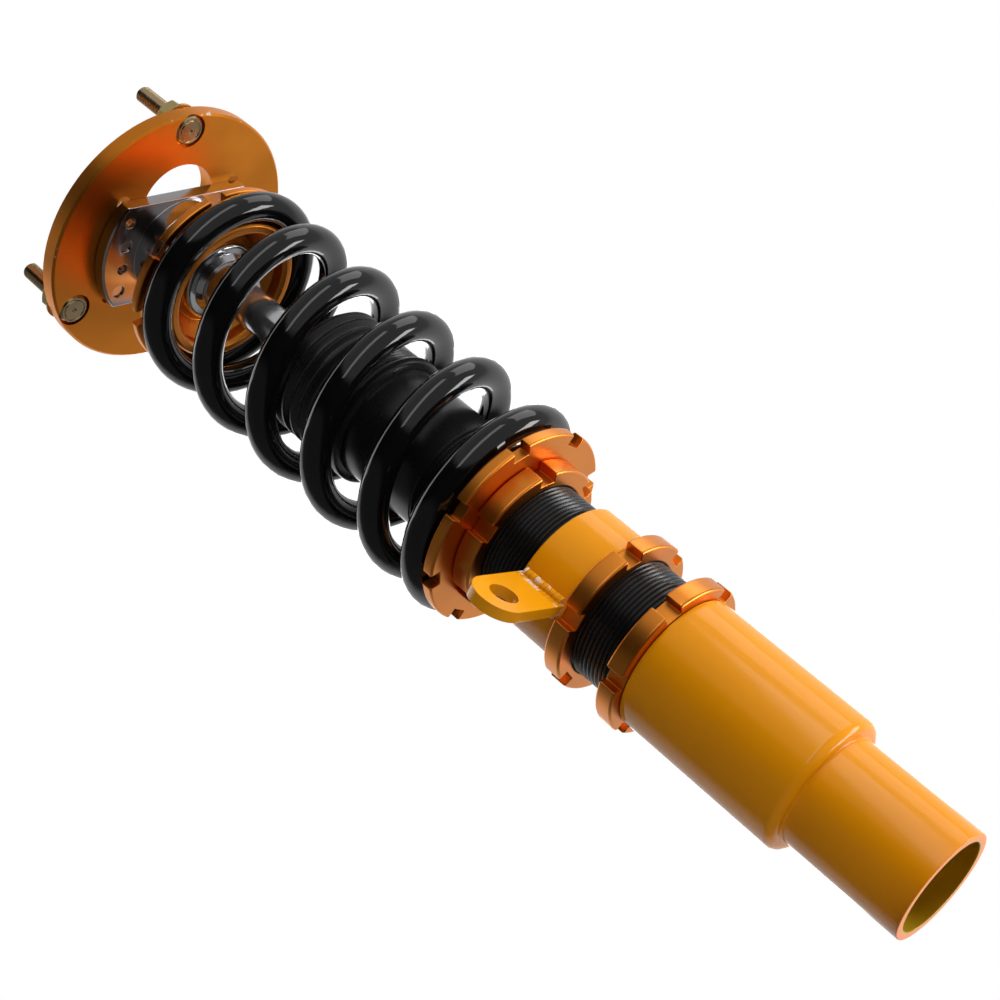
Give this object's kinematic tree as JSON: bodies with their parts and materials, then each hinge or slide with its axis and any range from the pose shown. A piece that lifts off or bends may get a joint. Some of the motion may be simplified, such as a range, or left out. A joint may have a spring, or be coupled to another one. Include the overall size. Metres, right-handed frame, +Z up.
{
  "type": "height-adjustable coilover strut",
  "caption": "Height-adjustable coilover strut: threaded damper in a clamp tube, notched lock rings, link bracket, coil spring, boot, and a slotted camber plate on studs.",
  "frame": {"origin": "centre of the lower tube's open end, on the strut's axis", "axes": "+Z up the strut from the open tube end to the studs; Y along the camber slots; X across them"},
  "size_m": [0.1316, 0.129, 0.4935],
  "materials": {
    "yellow_paint": "glossy golden-yellow powder coat",
    "orange_anodise": "satin copper-orange anodised",
    "black_body": "satin black",
    "spring_paint": "gloss black powder coat",
    "hard_chrome": "mirror",
    "polished_steel": "polished",
    "plain_steel": "ground",
    "machined_alloy": "fine turned",
    "bright_zinc": "bright zinc plate",
    "yellow_zinc": "yellow zinc passivate",
    "boot_rubber": "semi-gloss",
    "seal_rubber": "matte",
    "bump_foam": "fine closed-cell foam",
    "nylon": "satin",
    "woven_liner": "woven"
  },
  "bodies": {
    "lower_mount": {"lower_tube": "yellow_paint"},
    "bottom_ring": {"bottom_lock_ring": "orange_anodise"},
    "damper": {"threaded_body": "black_body", "base_cap": "machined_alloy", "rod_guide": "machined_alloy", "rod_seal": "seal_rubber", "gland_nut": "black_body", "bump_stop": "bump_foam", "dust_boot": "boot_rubber"},
    "gas_piston": {"floating_piston": "machined_alloy"},
    "mid_ring": {"mid_lock_ring": "orange_anodise"},
    "bracket": {"bracket_sleeve": "yellow_paint", "link_tab": "yellow_paint"},
    "seat_ring": {"perch_lock_ring": "orange_anodise"},
    "lower_seat": {"spring_perch": "orange_anodise", "coil_spring": "spring_paint"},
    "rod": {"piston_rod": "hard_chrome", "piston": "machined_alloy", "valve_shims": "plain_steel", "piston_nut": "plain_steel", "rebound_stop": "seal_rubber", "bump_washer": "polished_steel", "top_hat": "orange_anodise", "bearing_collar": "polished_steel", "upper_spacer": "polished_steel", "top_nut": "hard_chrome", "nut_insert": "nylon"},
    "ball": {"bearing_ball": "polished_steel"},
    "liner": {"bearing_liner": "woven_liner"},
    "slider": {"bearing_race": "polished_steel", "retaining_ring": "plain_steel", "camber_slider": "machined_alloy", "slot_screws": "bright_zinc", "slot_washers": "bright_zinc"},
    "top_plate": {"camber_plate": "orange_anodise", "stud_bolts": "yellow_zinc", "flange_nuts": "yellow_zinc"}
  },
  "joints": [
    {"name": "bottom_ring_slide", "type": "slide", "parent": "lower_mount", "child": "bottom_ring", "axis": [0, 0, 1], "range_m": [0, 0.005]},
    {"name": "height_adjust", "type": "slide", "parent": "lower_mount", "child": "damper", "axis": [0, 0, 1], "range_m": [-0.008, 0.03]},
    {"name": "gas_piston_slide", "type": "slide", "parent": "damper", "child": "gas_piston", "axis": [0, 0, 1], "range_m": [-0.0072, 0]},
    {"name": "mid_ring_slide", "type": "slide", "parent": "damper", "child": "mid_ring", "axis": [0, 0, 1], "range_m": [-0.005, 0]},
    {"name": "bracket_turn", "type": "hinge", "parent": "damper", "child": "bracket", "pos_m": [0, 0, 0.18135], "axis": [0, 0, 1], "range_deg": [-60, 60]},
    {"name": "seat_adjust", "type": "slide", "parent": "damper", "child": "lower_seat", "axis": [0, 0, 1], "range_m": [-0.01, 0]},
    {"name": "seat_ring_slide", "type": "slide", "parent": "damper", "child": "seat_ring", "axis": [0, 0, 1], "range_m": [-0.01, 0]},
    {"name": "stroke", "type": "slide", "parent": "lower_seat", "child": "rod", "axis": [0, 0, 1], "range_m": [-0.045, 0], "stiffness_N_per_m": 118000, "deforming": ["coil_spring"]},
    {"name": "mount_spin", "type": "hinge", "parent": "rod", "child": "ball", "pos_m": [0, 0, 0.4485], "axis": [0, 0, 1], "continuous": true},
    {"name": "mount_tilt_x", "type": "hinge", "parent": "ball", "child": "liner", "pos_m": [0, 0, 0.4485], "axis": [1, 0, 0], "range_deg": [-8, 8]},
    {"name": "mount_tilt_y", "type": "hinge", "parent": "liner", "child": "slider", "pos_m": [0, 0, 0.4485], "axis": [0, 1, 0], "range_deg": [-8, 8]},
    {"name": "camber_slide", "type": "slide", "parent": "slider", "child": "top_plate", "axis": [0, 1, 0], "range_m": [-0.018, 0.0065]}
  ],
  "couplings": [
    {"joint": "seat_ring_slide", "follows": "seat_adjust", "ratio": 1},
    {"joint": "gas_piston_slide", "follows": "stroke", "ratio": 0.16}
  ]
}
